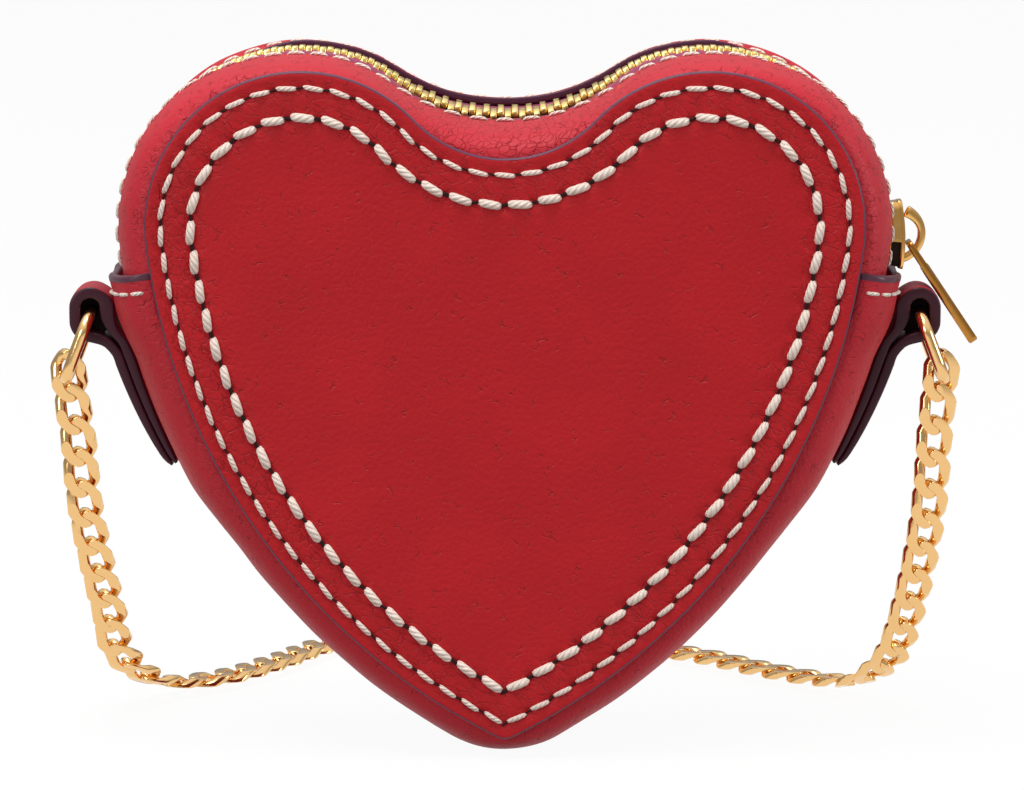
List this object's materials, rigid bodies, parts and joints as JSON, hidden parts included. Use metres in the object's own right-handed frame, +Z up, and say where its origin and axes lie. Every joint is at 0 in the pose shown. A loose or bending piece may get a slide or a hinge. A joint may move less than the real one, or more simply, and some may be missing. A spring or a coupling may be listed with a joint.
{
  "type": "heart shaped purse",
  "caption": "Small heart-shaped leather purse with a stitched front and back, a zipped gusset over the top, side tabs with metal rings and a short chain strap.",
  "frame": {"origin": "middle of the small flat at the heart's tip, which the purse stands on", "axes": "+Z up, +X to the viewer's right as seen from the front, front panel faces -Y"},
  "size_m": [0.1848, 0.1263, 0.141],
  "materials": {
    "panel_leather": "pebbled, satin",
    "gusset_leather": "pebbled, satin",
    "tab_leather": "pebbled, with painted edges",
    "board": "fibre board",
    "lining_cloth": "matt cloth",
    "zip_tape": "woven, matt",
    "zip_brass": "polished",
    "gilt_metal": "gilt, polished",
    "thread": "waxed thread"
  },
  "bodies": {
    "purse": {"front_panel": "panel_leather", "back_panel": "panel_leather", "front_stiffener": "board", "back_stiffener": "board", "front_lining": "lining_cloth", "back_lining": "lining_cloth", "lower_gusset": "gusset_leather", "gusset_lining": "lining_cloth", "zip_strip_front": "gusset_leather", "zip_strip_back": "gusset_leather", "zip_tape_front": "zip_tape", "zip_tape_back": "zip_tape", "zip_teeth_front": "zip_brass", "zip_teeth_back": "zip_brass", "zip_stops": "zip_brass", "front_edge_stitches": "thread", "front_rope_stitches": "thread", "back_edge_stitches": "thread", "back_rope_stitches": "thread", "zip_stitches": "thread", "cuff_stitches": "thread", "left_tab": "tab_leather", "right_tab": "tab_leather"},
    "slider": {"zip_slider": "gilt_metal"},
    "pull": {"zip_pull": "gilt_metal"},
    "strap": {"left_ring": "gilt_metal", "right_ring": "gilt_metal", "chain_left_drop": "gilt_metal", "chain_left_floor": "gilt_metal", "chain_right_floor": "gilt_metal", "chain_right_drop": "gilt_metal"}
  },
  "joints": [
    {"name": "slider_travel", "type": "hinge", "parent": "purse", "child": "slider", "pos_m": [0.04, 0, 0.104], "axis": [0, -1, 0], "range_deg": [0, 100], "deforming": ["zip_teeth_front", "zip_teeth_back"]},
    {"name": "pull_swing", "type": "hinge", "parent": "slider", "child": "pull", "pos_m": [0.08047, 0, 0.10023], "axis": [0, -1, 0], "range_deg": [0, 110]},
    {"name": "strap_lift", "type": "hinge", "parent": "purse", "child": "strap", "pos_m": [0, 0, 0.08665], "axis": [1, 0, 0], "range_deg": [0, 16]}
  ]
}
